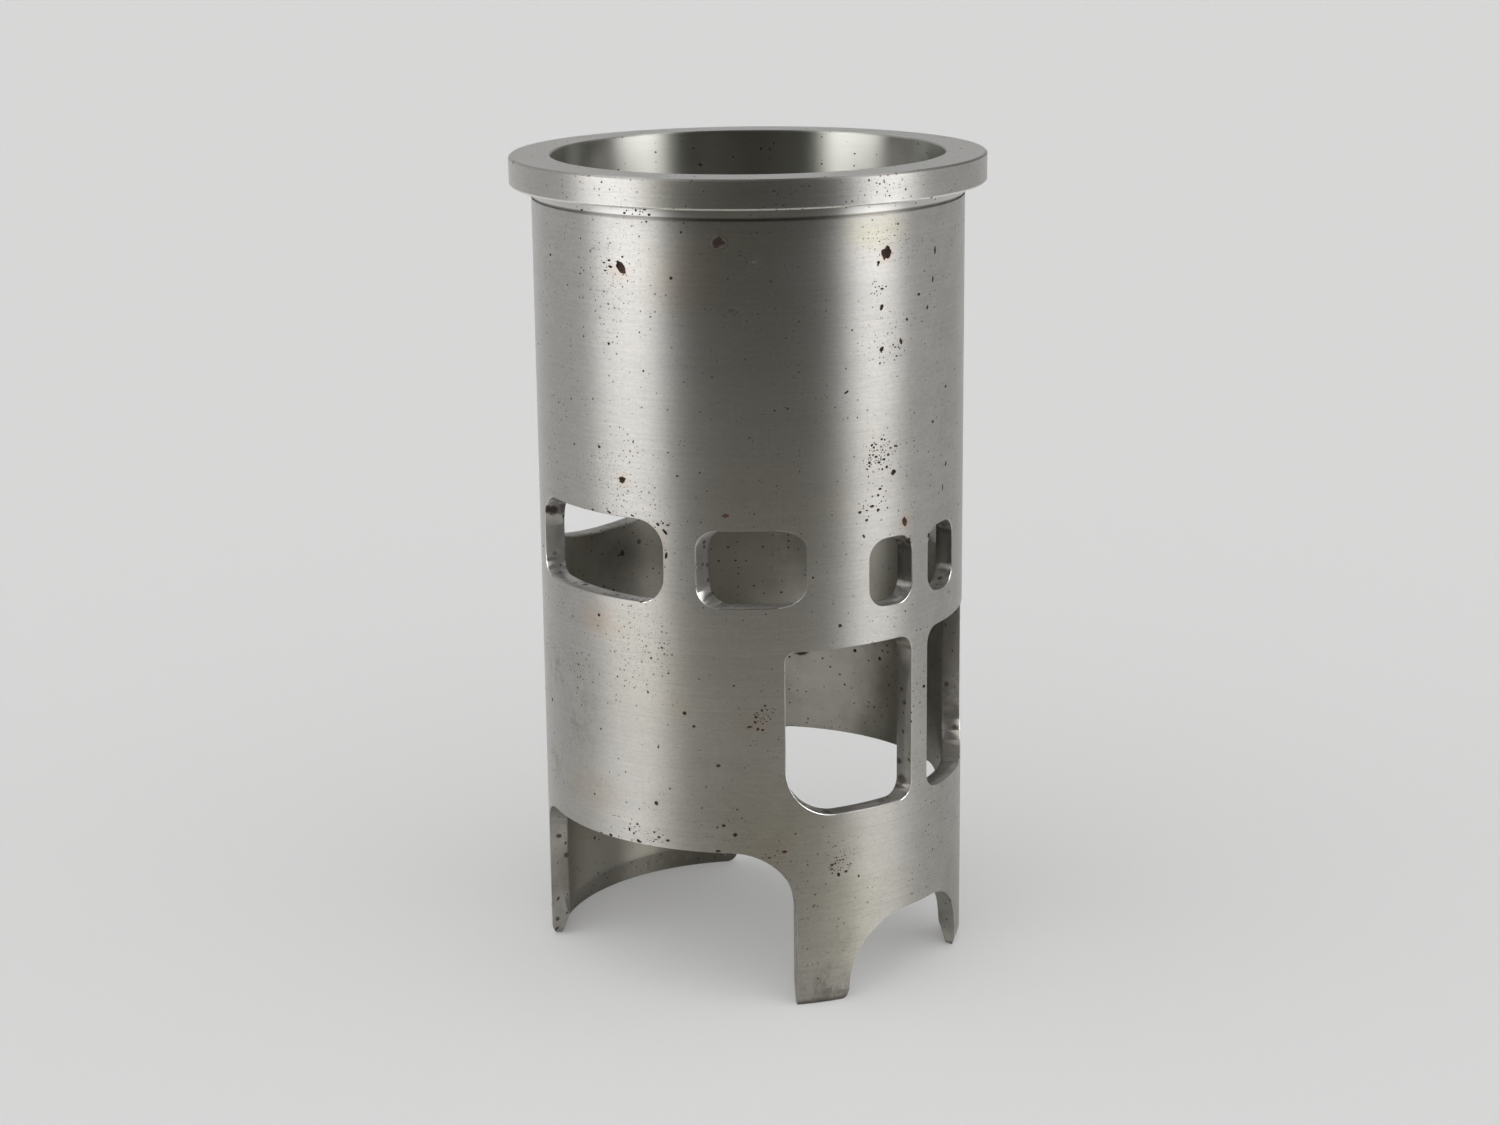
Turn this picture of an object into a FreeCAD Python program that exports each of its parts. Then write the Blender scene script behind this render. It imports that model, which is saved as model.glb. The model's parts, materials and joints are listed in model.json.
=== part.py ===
import FreeCAD
import Part
import math
import os

# Flanged cylinder liner of a two-stroke single, in millimetres.
# The origin is at the centre of the foot, +Z runs up the bore to the deck, and the intake side faces -Y.
# A bearing is an angle round the axis in degrees, from the intake side and positive towards +X.

# Tube and flange
bore_diameter = 86.0
wall_thickness = 4.25
liner_height = 180.3
flange_overhang = 4.75
flange_thickness = 6.3
flange_edge_break = 0.4
bore_edge_break = 0.3
seat_fillet = 0.5

# Fine groove that ends the pilot band under the flange
pilot_band_height = 2.2
groove_width = 0.5
groove_depth = 0.35

# Foot: a long lead-in for the piston rings inside, a short chamfer outside
lead_in_width = 2.0
lead_in_height = 5.5
foot_chamfer_width = 0.85
foot_chamfer_height = 2.5

# Heights of the openings, stacked from the foot
arch_height = 18.0
cutaway_height = 35.6
band_under_intake = 7.55
intake_height = 36.85
band_over_intake = 7.65
boost_height = 14.8
transfer_step = 2.25
main_transfer_height = 18.05
side_transfer_height = 16.65
exhaust_drop = 0.7
exhaust_height = 37.3

# Widths along X, for openings cut square to the intake side
rib_width = 5.65
boost_width = 11.9
arch_width = 39.0
exhaust_width = 54.0

# Bearings of the edges on the outer face, for the openings on the -X side
intake_outer_edge = -41.7
side_transfer_edges = (-64.45, -36.0)
main_transfer_edges = (-124.1, -73.3)
cutaway_edges = (-135.8, -38.9)

# Bearing that the rear wall of a main transfer port runs along, so that it aims at the intake side
main_transfer_rear_heading = -135.0

# Corner radii
intake_inner_radius = 3.7
intake_top_radius = 2.2
intake_bottom_radius = 11.0
boost_radius = 4.2
side_transfer_radius = 4.3
main_transfer_front_radius = 6.0
main_transfer_rear_radii = (4.0, 8.0)
cutaway_radius = 14.0
arch_radius = 15.0
skirt_corner_radius = 2.5
arch_toe_radius = 1.0
exhaust_bottom_radius = 10.0
exhaust_top_radius = 14.0
exhaust_floor_curve = 65.0
exhaust_roof_curve = 90.0

# Edge breaks round the openings: the rings slide over the bore's side, and the other side is only deburred
bore_side_chamfer = 0.3
body_side_chamfer = 0.15

# How far a cutter runs past the wall on either side
cutter_clearance = 5.0

# How near to a radius a point is to count as on it
radius_tolerance = 0.001

bore_radius = bore_diameter / 2
body_radius = bore_radius + wall_thickness
flange_radius = body_radius + flange_overhang
seat_z = liner_height - flange_thickness

intake_floor = cutaway_height + band_under_intake
intake_roof = intake_floor + intake_height
boost_floor = intake_roof + band_over_intake
boost_roof = boost_floor + boost_height
transfer_floor = boost_floor + transfer_step
exhaust_floor = transfer_floor - exhaust_drop
exhaust_roof = exhaust_floor + exhaust_height

# The bore is turned in two stretches, and the upper one is a whole ring above the ports
whole_ring_from = (exhaust_roof + liner_height) / 2


def direction(bearing):
    angle = math.radians(bearing)
    return FreeCAD.Vector(math.sin(angle), -math.cos(angle), 0)


def wall_from_edge(bearing, heading):
    """A side wall through the outer face at a bearing, running out along a heading."""
    return direction(bearing) * body_radius, direction(heading)


def wall_from_offset(offset):
    """A side wall square to the intake side, at a distance from the symmetry plane."""
    return FreeCAD.Vector(offset, 0, 0), direction(0)


def point_at_reach(wall, facing, reach):
    start, heading = wall
    outward = direction(facing)
    return start + heading * ((reach - outward.dot(start)) / outward.dot(heading))


def edge_through(solid, point):
    vertex = Part.Vertex(point)
    return min(solid.Edges, key=lambda edge: edge.distToShape(vertex)[0])


def rounded(solid, corners):
    """Fillet the edges that pass through the given points, each with its own radius."""
    for point, radius in corners:
        solid = solid.makeFillet(radius, [edge_through(solid, point)])
    return solid


def window(facing, half_span, walls, levels, radii):
    """Cutter with flat side walls, a level floor and roof, and round corners.

    Radii are given as ((low left, high left), (low right, high right)), and None leaves a corner sharp.
    """
    inner_reach = bore_radius * math.cos(math.radians(half_span)) - cutter_clearance
    outer_reach = body_radius + cutter_clearance
    inner = [point_at_reach(wall, facing, inner_reach) for wall in walls]
    outer = [point_at_reach(wall, facing, outer_reach) for wall in walls]
    plan = [inner[0], outer[0], outer[1], inner[1], inner[0]]
    floor, roof = levels
    cutter = Part.Face(Part.makePolygon(plan)).extrude(FreeCAD.Vector(0, 0, roof - floor))
    cutter.translate(FreeCAD.Vector(0, 0, floor))
    corners = []
    for near, far, side_radii in zip(inner, outer, radii):
        for level, radius in zip(levels, side_radii):
            if radius is not None:
                corners.append(((near + far) * 0.5 + FreeCAD.Vector(0, 0, level), radius))
    return rounded(cutter, corners)


def mirrored(cutter):
    return cutter.mirror(FreeCAD.Vector(0, 0, 0), FreeCAD.Vector(1, 0, 0))


def window_between(edges, headings, levels, radii):
    """Window with its two edges at bearings on the outer face, and its walls along two headings."""
    facing = sum(edges) / 2
    half_span = (edges[1] - edges[0]) / 2
    walls = [wall_from_edge(edge, heading) for edge, heading in zip(edges, headings)]
    return window(facing, half_span, walls, levels, radii)


def tube_with_flange():
    groove_top = seat_z - pilot_band_height
    groove_bottom = groove_top - groove_width
    outline = [
        FreeCAD.Vector(body_radius, 0, seat_z - seat_fillet),
        FreeCAD.Vector(body_radius, 0, groove_top),
        FreeCAD.Vector(body_radius - groove_depth, 0, groove_top),
        FreeCAD.Vector(body_radius - groove_depth, 0, groove_bottom),
        FreeCAD.Vector(body_radius, 0, groove_bottom),
        FreeCAD.Vector(body_radius, 0, foot_chamfer_height),
        FreeCAD.Vector(body_radius - foot_chamfer_width, 0, 0),
        FreeCAD.Vector(bore_radius + lead_in_width, 0, 0),
        FreeCAD.Vector(bore_radius, 0, lead_in_height),
        FreeCAD.Vector(bore_radius, 0, whole_ring_from),
        FreeCAD.Vector(bore_radius, 0, liner_height - bore_edge_break),
        FreeCAD.Vector(bore_radius + bore_edge_break, 0, liner_height),
        FreeCAD.Vector(flange_radius - flange_edge_break, 0, liner_height),
        FreeCAD.Vector(flange_radius, 0, liner_height - flange_edge_break),
        FreeCAD.Vector(flange_radius, 0, seat_z + flange_edge_break),
        FreeCAD.Vector(flange_radius - flange_edge_break, 0, seat_z),
        FreeCAD.Vector(body_radius + seat_fillet, 0, seat_z),
    ]
    edges = Part.makePolygon(outline).Edges
    dip = seat_fillet * (1 - math.sqrt(0.5))
    fillet_middle = FreeCAD.Vector(body_radius + dip, 0, seat_z - dip)
    edges.append(Part.Arc(outline[-1], fillet_middle, outline[0]).toShape())
    profile = Part.Face(Part.Wire(edges))
    return profile.revolve(FreeCAD.Vector(0, 0, 0), FreeCAD.Vector(0, 0, 1), 360)


def intake_window():
    rib_wall = wall_from_offset(-rib_width / 2)
    outer_wall = wall_from_edge(intake_outer_edge, intake_outer_edge)
    radii = ((intake_bottom_radius, intake_top_radius), (intake_inner_radius, intake_inner_radius))
    half_span = -intake_outer_edge / 2
    return window(-half_span, half_span, (outer_wall, rib_wall), (intake_floor, intake_roof), radii)


def boost_port():
    outer_offset = -(rib_width / 2 + boost_width)
    walls = (wall_from_offset(outer_offset), wall_from_offset(-rib_width / 2))
    half_span = math.degrees(math.asin(-outer_offset / bore_radius))
    radii = ((boost_radius, boost_radius), (boost_radius, boost_radius))
    return window(0, half_span, walls, (boost_floor, boost_roof), radii)


def side_transfer_port():
    levels = (transfer_floor, transfer_floor + side_transfer_height)
    radii = ((side_transfer_radius, side_transfer_radius), (side_transfer_radius, side_transfer_radius))
    return window_between(side_transfer_edges, (-90, -90), levels, radii)


def main_transfer_port():
    levels = (transfer_floor, transfer_floor + main_transfer_height)
    radii = (main_transfer_rear_radii, (main_transfer_front_radius, main_transfer_front_radius))
    return window_between(main_transfer_edges, (main_transfer_rear_heading, -90), levels, radii)


def transfer_cutaway():
    levels = (-cutter_clearance, cutaway_height)
    radii = ((None, cutaway_radius), (None, cutaway_radius))
    return window_between(cutaway_edges, cutaway_edges, levels, radii)


def foot_corner(wall, facing, radius):
    """Cutter that rounds the foot corner on the lower-bearing side of a wall."""
    near = point_at_reach(wall, facing, cutter_clearance)
    far = point_at_reach(wall, facing, body_radius + cutter_clearance)
    into_metal = -direction(facing + 90)
    up = FreeCAD.Vector(0, 0, 1)
    clear = cutter_clearance
    arc_dip = radius * (1 - math.sqrt(0.5))
    on_foot = near + into_metal * radius
    on_wall = near + up * radius
    between = near + (into_metal + up) * arc_dip
    outline = Part.makePolygon([
        on_wall,
        on_wall - into_metal * clear,
        near - (into_metal + up) * clear,
        on_foot - up * clear,
        on_foot,
    ]).Edges
    outline.append(Part.Arc(on_foot, between, on_wall).toShape())
    return Part.Face(Part.Wire(outline)).extrude(far - near)


def skirt_corner():
    edge = cutaway_edges[0]
    return foot_corner(wall_from_edge(edge, edge), edge, skirt_corner_radius)


def arch_toe():
    return foot_corner(wall_from_offset(-arch_width / 2), 0, arch_toe_radius)


def intake_arch():
    offset = arch_width / 2
    walls = (wall_from_offset(-offset), wall_from_offset(offset))
    half_span = math.degrees(math.asin(offset / bore_radius))
    radii = ((None, arch_radius), (None, arch_radius))
    return window(0, half_span, walls, (-cutter_clearance, arch_height), radii)


def bowed_edge(start, end, curve):
    """Arc from start to end in the XZ plane, whose middle stands out by the sagitta of a large radius."""
    chord = end - start
    half = chord.Length / 2
    sagitta = curve - math.sqrt(curve * curve - half * half)
    outward = FreeCAD.Vector(-chord.z, 0, chord.x).normalize()
    middle = (start + end) * 0.5 - outward * sagitta
    return Part.Arc(start, middle, end).toShape()


def exhaust_port():
    half = exhaust_width / 2
    floor_rise = exhaust_floor_curve - math.sqrt(exhaust_floor_curve ** 2 - half ** 2)
    roof_fall = exhaust_roof_curve - math.sqrt(exhaust_roof_curve ** 2 - half ** 2)
    inner_reach = math.sqrt(bore_radius ** 2 - half ** 2) - cutter_clearance
    depth = body_radius + cutter_clearance - inner_reach
    low = exhaust_floor + floor_rise
    high = exhaust_roof - roof_fall
    low_left = FreeCAD.Vector(-half, inner_reach, low)
    low_right = FreeCAD.Vector(half, inner_reach, low)
    high_right = FreeCAD.Vector(half, inner_reach, high)
    high_left = FreeCAD.Vector(-half, inner_reach, high)
    outline = Part.Wire([
        bowed_edge(low_left, low_right, exhaust_floor_curve),
        Part.LineSegment(low_right, high_right).toShape(),
        bowed_edge(high_right, high_left, exhaust_roof_curve),
        Part.LineSegment(high_left, low_left).toShape(),
    ])
    cutter = Part.Face(outline).extrude(FreeCAD.Vector(0, depth, 0))
    midway = FreeCAD.Vector(0, depth / 2, 0)
    return rounded(cutter, [
        (low_left + midway, exhaust_bottom_radius),
        (low_right + midway, exhaust_bottom_radius),
        (high_right + midway, exhaust_top_radius),
        (high_left + midway, exhaust_top_radius),
    ])


def rims(solid, radius, lowest):
    """Edges that the openings leave on the turned face of a radius, above a level."""
    found = []
    for edge in solid.Edges:
        points = edge.discretize(9)
        on_face = all(abs(math.hypot(point.x, point.y) - radius) < radius_tolerance for point in points)
        between = lowest < points[4].z < whole_ring_from - radius_tolerance
        if on_face and between and not any(edge.isSeam(face) for face in solid.Faces):
            found.append(edge)
    return found


def with_broken_edges(solid):
    """Chamfer every rim on the bore's side, and the rims of the ports on the body's side."""
    solid = solid.makeChamfer(bore_side_chamfer, rims(solid, bore_radius, lead_in_height + radius_tolerance))
    above_cutaway = cutaway_height + band_under_intake / 2
    return solid.makeChamfer(body_side_chamfer, rims(solid, body_radius, above_cutaway))


def cylinder_liner():
    liner = tube_with_flange()
    pairs = (intake_window, boost_port, side_transfer_port, main_transfer_port, transfer_cutaway)
    for make_cutter in pairs + (skirt_corner, arch_toe):
        cutter = make_cutter()
        liner = liner.cut(cutter).cut(mirrored(cutter))
    liner = liner.cut(intake_arch()).cut(exhaust_port())
    return with_broken_edges(liner)


liner = cylinder_liner().Solids[0]
os.makedirs("parts", exist_ok=True)
liner.exportStep("parts/cylinder_liner.step")
print("valid", liner.isValid(), "volume", round(liner.Volume, 1), "mm3, box", liner.BoundBox)
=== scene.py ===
import json
import math

import bmesh
import bpy
import numpy as np
from mathutils import Matrix, Vector, noise as blobNoise


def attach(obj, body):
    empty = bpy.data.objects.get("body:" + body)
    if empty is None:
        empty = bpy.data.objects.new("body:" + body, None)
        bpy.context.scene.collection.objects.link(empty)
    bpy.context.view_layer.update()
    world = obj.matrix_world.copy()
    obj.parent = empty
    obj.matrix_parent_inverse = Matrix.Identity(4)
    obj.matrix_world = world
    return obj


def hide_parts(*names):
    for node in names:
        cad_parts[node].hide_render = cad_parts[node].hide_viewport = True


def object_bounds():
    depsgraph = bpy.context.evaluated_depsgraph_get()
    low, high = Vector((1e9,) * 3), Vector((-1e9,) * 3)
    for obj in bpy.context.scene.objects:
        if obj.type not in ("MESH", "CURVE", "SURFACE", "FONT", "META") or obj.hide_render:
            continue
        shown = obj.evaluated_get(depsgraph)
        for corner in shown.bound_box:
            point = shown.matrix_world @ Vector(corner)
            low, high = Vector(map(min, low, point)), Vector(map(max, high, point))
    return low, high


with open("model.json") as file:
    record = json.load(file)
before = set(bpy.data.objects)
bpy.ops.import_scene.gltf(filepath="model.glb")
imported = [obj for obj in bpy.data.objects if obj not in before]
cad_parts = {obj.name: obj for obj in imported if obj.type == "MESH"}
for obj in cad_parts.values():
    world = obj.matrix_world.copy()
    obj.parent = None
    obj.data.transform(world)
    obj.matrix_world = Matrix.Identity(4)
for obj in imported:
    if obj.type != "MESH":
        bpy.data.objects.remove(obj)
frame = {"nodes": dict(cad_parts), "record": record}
cadLow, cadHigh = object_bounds()
nodeName = "cylinder_liner"


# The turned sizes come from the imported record, in metres
def mountNamed(name):
    return next(m for m in frame["record"]["mounts"] if m["name"] == name)


turned = {
    "bore": mountNamed("bore")["dims"]["r_mm"] / 1000,
    "body": mountNamed("body")["dims"]["r_mm"] / 1000,
    "flange": cadHigh.x,
    "seat": mountNamed("flange_seat")["pos_m"][2],
}
print("Frame loaded, bore", turned["bore"], "body", turned["body"], "flange", turned["flange"])


# Shader maths: a socket that takes Python's operators
class Field:
    def __init__(self, tree, socket):
        self.tree = tree
        self.socket = socket

    def node(self, kind, settings=None, sockets=None, output=0):
        made = self.tree.nodes.new(kind)
        for name, value in (settings or {}).items():
            setattr(made, name, value)
        for name, value in (sockets or {}).items():
            if isinstance(value, Field):
                self.tree.links.new(value.socket, made.inputs[name])
            else:
                made.inputs[name].default_value = value
        return Field(self.tree, made.outputs[output])

    def math(self, operation, *values):
        return self.node("ShaderNodeMath", {"operation": operation}, dict(enumerate(values)))

    def vector(self, operation, *values, output=0):
        return self.node("ShaderNodeVectorMath", {"operation": operation}, dict(enumerate(values)), output)

    def __add__(self, other):
        return self.math("ADD", self, other)

    def __radd__(self, other):
        return self.math("ADD", other, self)

    def __sub__(self, other):
        return self.math("SUBTRACT", self, other)

    def __rsub__(self, other):
        return self.math("SUBTRACT", other, self)

    def __mul__(self, other):
        return self.math("MULTIPLY", self, other)

    def __rmul__(self, other):
        return self.math("MULTIPLY", other, self)

    def __truediv__(self, other):
        return self.math("DIVIDE", self, other)

    def __gt__(self, other):
        return self.math("GREATER_THAN", self, other)

    def __lt__(self, other):
        return self.math("LESS_THAN", self, other)


def newMaterial(name):
    material = bpy.data.materials.new(name)
    material.use_nodes = True
    tree = material.node_tree
    tree.nodes.clear()
    return material, tree, Field(tree, tree.nodes.new("ShaderNodeTexCoord").outputs["Object"])


def part(vector, axis):
    return vector.node("ShaderNodeSeparateXYZ", {}, {0: vector}, axis)


def joined(x, y):
    return x.node("ShaderNodeCombineXYZ", {}, {0: x, 1: y, 2: 0.0})


def most(first, *others):
    for other in others:
        first = first.math("MAXIMUM", first, other)
    return first


def inMetres(millimetres):
    return millimetres / 1000


def stretched(point, across, along):
    # scales X and Y by one amount and Z by another, so that a pattern runs round the turning
    return point.vector("MULTIPLY", point, (across, across, along))


def widened(place, across, along):
    # scales the two directions of a flat place
    return place.vector("MULTIPLY", place, (across, along, 1.0))


def flattened(point):
    # the place without its height, and its distance from the axis
    flat = stretched(point, 1.0, 0.0)
    return flat, flat.vector("LENGTH", flat, output=1)


def unrolled(point, radius):
    # a flat place: how far round the turning at a radius, and how high. The seam is at the back
    around = point.math("ARCTAN2", part(point, "X"), 0 - part(point, "Y")) * radius
    return joined(around, part(point, "Z"))


def skewed(point, aside=1.2, above=0.8):
    # a flat place that is stretched little on any wall of a port, whichever way the wall faces
    place = unrolled(point, turned["body"])
    radius = flattened(point)[1]
    return place.vector("ADD", place, joined(radius * aside, radius * above))


def noise(vector, detail, roughness=0.5):
    sockets = {"Vector": vector, "Scale": 1.0, "Detail": detail, "Roughness": roughness}
    return vector.node("ShaderNodeTexNoise", {}, sockets)


# A pattern is a row: how often it changes round and up in a metre, its detail and its roughness
def pattern(point, row):
    across, along, detail, roughness = row
    return noise(stretched(point, across, along), detail, roughness)


def patternsOf(point, look):
    return {name: pattern(point, row) for name, row in look["patterns"].items()}


def swings(start, grains, shares):
    # adds how far each pattern is from its middle, times its share
    return sum(((grains[name] - 0.5) * share for name, share in shares.items()), start)


def reliefOf(grains, look, rust):
    return sum((grains[name] * height for name, height in look["heights"].items()), rust * -look["speckDepth"])


def bumped(relief):
    return relief.node("ShaderNodeBump", {}, {"Strength": 1.0, "Distance": 1.0, "Height": relief})


def smoothStep(value, low, high):
    settings = {"interpolation_type": "SMOOTHSTEP"}
    return value.node("ShaderNodeMapRange", settings, {"Value": value, "From Min": low, "From Max": high})


def mixColour(factor, first, second):
    first = first if isinstance(first, Field) else (*first, 1.0)
    second = second if isinstance(second, Field) else (*second, 1.0)
    return factor.node("ShaderNodeMix", {"data_type": "RGBA"}, {"Factor": factor, 6: first, 7: second}, 2)


def dimmed(colour, tone):
    return tone.node("ShaderNodeVectorMath", {"operation": "SCALE"}, {0: colour, "Scale": tone})


def toGrey(value):
    return value.node("ShaderNodeCombineColor", {}, {0: value, 1: value, 2: value})


def principled(tree, varying, constants):
    shader = tree.nodes.new("ShaderNodeBsdfPrincipled")
    for name, value in constants.items():
        shader.inputs[name].default_value = value
    for name, value in varying.items():
        tree.links.new(value.socket, shader.inputs[name])
    output = tree.nodes.new("ShaderNodeOutputMaterial")
    tree.links.new(shader.outputs[0], output.inputs["Surface"])


def ironSurface(tree, base, roughness, metal, relief, constants):
    varying = {"Base Color": base, "Roughness": roughness, "Metallic": metal, "Normal": bumped(relief)}
    principled(tree, varying, constants)


# How a speck's outline wanders, and where its edge starts and ends, in its own radii
speckShape = {"grain": 3.1, "ragged": 0.9, "inner": 0.7, "outer": 1.05}


# Specks of rust: one ragged dot in some of the cells of a flat Voronoi pattern. A row says the size of a cell, the
# share of cells with a speck, what a crowded place adds to it, the least and largest radius in cells, how much the
# specks are flattened, and their strength.
def specks(place, rows, crowded=0.0):
    shape = speckShape
    masks = []
    for cell, share, more, smallest, largest, flatten, strength in rows:
        fine = shape["grain"] / cell
        wobble = noise(widened(place, fine, fine * flatten), 1.0)
        sockets = {"Vector": widened(place, 1 / cell, flatten / cell), "Scale": 1.0, "Randomness": 1.0}
        settings = {"feature": "F1", "voronoi_dimensions": "2D"}
        distance = place.node("ShaderNodeTexVoronoi", settings, sockets, 0)
        cellColour = place.node("ShaderNodeTexVoronoi", settings, sockets, 1)
        pick = place.node("ShaderNodeSeparateColor", {}, {0: cellColour}, 0)
        size = place.node("ShaderNodeSeparateColor", {}, {0: cellColour}, 1)
        radius = smallest + size * size * size * (largest - smallest)
        reach = distance / radius + (wobble - 0.5) * shape["ragged"]
        inside = 1 - smoothStep(reach, shape["inner"], shape["outer"])
        masks.append(inside * (share + more * crowded > pick) * strength)
    return most(*masks)


# Where rust covers the iron it is no metal: where that starts and ends, and how much of the metal goes
rustCover = {"from": 0.45, "to": 1.0, "share": 0.9}


def covered(rust):
    return smoothStep(rust, rustCover["from"], rustCover["to"]) * rustCover["share"]


# Stains at named places: bearing in degrees, height, width and tallness in millimetres, and strength.
# A small stain has a ragged edge, and a film or a tint fades out over most of its width.
raggedEdge = {"grain": (900.0, 900.0, 3.0, 0.6), "ragged": 0.9, "inner": 0.45, "outer": 1.15}
softEdge = {"grain": (170.0, 170.0, 3.0, 0.6), "ragged": 0.9, "inner": 0.0, "outer": 1.3}


def stains(place, radius, spots, edge=raggedEdge):
    ragged = (pattern(place, edge["grain"]) - 0.5) * edge["ragged"]
    around, level = part(place, "X"), part(place, "Y")
    half = math.pi * radius
    masks = []
    for bearing, height, width, tall, strength in spots:
        aside = place.math("WRAP", around - math.radians(bearing) * radius, half, -half) / inMetres(width / 2)
        above = (level - inMetres(height)) / inMetres(tall / 2)
        distance = place.math("SQRT", aside * aside + above * above)
        masks.append((1 - smoothStep(distance + ragged, edge["inner"], edge["outer"])) * strength)
    return most(*masks)


# Finish of the turned outside: fine rings from the tool, faint oil tint, specks and stains of rust.
# In each finish "tones", "roughens" and "heights" say how much a pattern changes the tone, the roughness, and the
# relief in metres, and a range says where a mask starts and is full.
turnedIron = {
    "colour": (0.474, 0.463, 0.446),
    "oil": (0.45, 0.43, 0.34),
    "warm": (0.48, 0.37, 0.28),
    # colour of the dirt stains and of the painted shade bands
    "dirt": (0.16, 0.146, 0.126),
    "rust": (0.038, 0.022, 0.015),
    "brown": (0.030, 0.015, 0.012),
    # colour of grime, also used as painted shade in the groove, under the flange and along the foot
    "grime": (0.10, 0.092, 0.075),
    "edge": (0.80, 0.79, 0.77),
    "roughness": 0.36,
    "bandRoughness": 0.33,
    "rustRoughness": 0.4,
    "brownRoughness": 0.3,
    "anisotropy": 0.72,
    "patterns": {
        "rings": (9.0, 1 / 0.00024, 3.0, 0.65),
        "lines": (5.0, 1250.0, 3.0, 0.6),
        "bands": (3.0, 330.0, 2.0, 0.5),
        "cloud": (38.0, 30.0, 4.0, 0.55),
        "mottle": (480.0, 480.0, 3.0, 0.6),
        "strokes": (260.0, 2300.0, 3.0, 0.7),
        "grain": (1200.0, 1700.0, 3.0, 0.7),
        "patch": (55.0, 55.0, 2.0, 0.5),
        "oil": (21.0, 17.0, 3.0, 0.5),
        "dirt": (420.0, 300.0, 4.0, 0.7),
    },
    "tones": {"rings": 0.20, "lines": 0.14, "bands": 0.08, "cloud": 0.16, "strokes": 0.26, "grain": 0.36},
    "mottleTone": 0.12,
    "roughens": {"rings": 0.10, "cloud": 0.08},
    "heights": {"rings": 2.6e-6, "lines": 1.0e-6, "strokes": 1.6e-6},
    "speckDepth": 7.0e-6,
    "specks": [
        (0.0012, 0.03, 0.72, 0.07, 0.22, 1.0, 0.7),
        (0.0017, 0.03, 0.38, 0.05, 0.16, 2.6, 0.7),
        (0.0026, 0.04, 0.45, 0.045, 0.12, 1.0, 1.0),
        (0.0095, 0.25, 0.0, 0.014, 0.045, 1.0, 1.0),
    ],
    "patchRange": (0.40, 0.62),
    "patchCrowding": 0.3,
    "stainCrowding": 1.5,
    "oilRange": (0.5, 0.75),
    "oilPatches": 0.5,
    "oilShare": 0.7,
    "dirtRange": (0.40, 0.62),
    "dirtLeast": 0.3,
    "dirtMore": 0.8,
    "dirtShare": 0.8,
    "bandHeight": 0.0022,
    "bandEdge": 0.0001,
    "bandLight": 0.6,
    "bandEven": 0.7,
    "bandFlat": 0.85,
    "grooveWidth": 0.0005,
    "grooveRange": (0.45, 1.1),
    "grooveGrime": 0.55,
    "seatRange": (0.0001, 0.0006),
    "seatGrime": 0.6,
    "footRange": (0.0002, 0.0016),
    "footGrime": 0.75,
    "edgeStart": 0.00002,
    "edgeRange": (0.0003, 0.0006),
}

# Brown stains, warm tints, mottled dirt, bands of painted shade, dense specks, and places where the oil shows
brownStains = [
    (-57.5, 167.0, 4.2, 3.8, 1.0),
    (-48.5, 163.0, 1.6, 1.2, 0.7),
    (-54.5, 153.0, 1.6, 1.0, 0.6),
]
warmStains = [
    (-94.0, 84.0, 16.0, 9.0, 0.42),
    (-69.5, 68.0, 8.0, 7.0, 0.25),
    (-50.0, 65.0, 10.0, 7.0, 0.30),
    (-46.0, 37.0, 14.0, 8.0, 0.25),
    (-13.0, 163.0, 5.0, 5.0, 0.5),
    (-84.8, 116.0, 4.0, 3.8, 0.5),
    (-6.4, 105.4, 3.8, 4.4, 0.6),
    (-74.0, 103.0, 4.0, 9.0, 0.4),
    (-85.0, 160.0, 8.0, 4.0, 0.3),
    (-66.0, 158.0, 20.0, 16.0, 0.22),
    (-100.0, 45.0, 20.0, 10.0, 0.25),
]
dirtStains = [
    (-117.0, 70.0, 26.0, 24.0, 0.62),
    (-106.0, 60.0, 22.0, 26.0, 0.48),
    (-118.0, 48.0, 26.0, 24.0, 0.5),
    (-112.0, 158.0, 14.0, 9.0, 0.2),
    (-113.0, 130.0, 16.0, 18.0, 0.2),
    (-60.0, 30.0, 30.0, 8.0, 0.2),
    (-30.0, 3.0, 18.0, 14.0, 0.75),
    (-28.0, 14.0, 16.0, 10.0, 0.35),
    (30.0, 100.0, 20.0, 30.0, 0.3),
    (150.0, 70.0, 40.0, 40.0, 0.35),
]
# painted shade: tall bands at the right and left sides of the turned outside, and patches low down in front and on
# the left
paintedShadeStains = [
    (24.0, 100.0, 38.0, 280.0, 0.62),
    (-114.0, 95.0, 26.0, 220.0, 0.34),
    (-52.0, 34.0, 60.0, 60.0, 0.42),
    (-86.0, 60.0, 34.0, 70.0, 0.14),
]
speckPatches = [
    (-88.0, 158.0, 20.0, 30.0, 1.0),
    (-86.0, 112.0, 24.0, 34.0, 1.0),
    (-80.0, 80.0, 20.0, 26.0, 1.0),
    (-103.0, 72.0, 12.0, 16.0, 0.8),
    (-14.0, 120.0, 20.0, 14.0, 1.0),
    (-10.0, 165.0, 22.0, 12.0, 0.9),
    (-14.0, 145.0, 14.0, 18.0, 0.8),
    (-82.0, 38.0, 16.0, 8.0, 0.7),
    (-27.0, 32.0, 12.0, 9.0, 0.8),
    (-18.0, 177.5, 18.0, 10.0, 0.9),
]
oilStains = [
    (-16.0, 168.0, 22.0, 9.0, 1.0),
    (-60.0, 166.0, 30.0, 14.0, 0.6),
    (-25.0, 20.0, 30.0, 50.0, 0.55),
    (-45.0, 40.0, 26.0, 30.0, 0.5),
]


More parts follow.
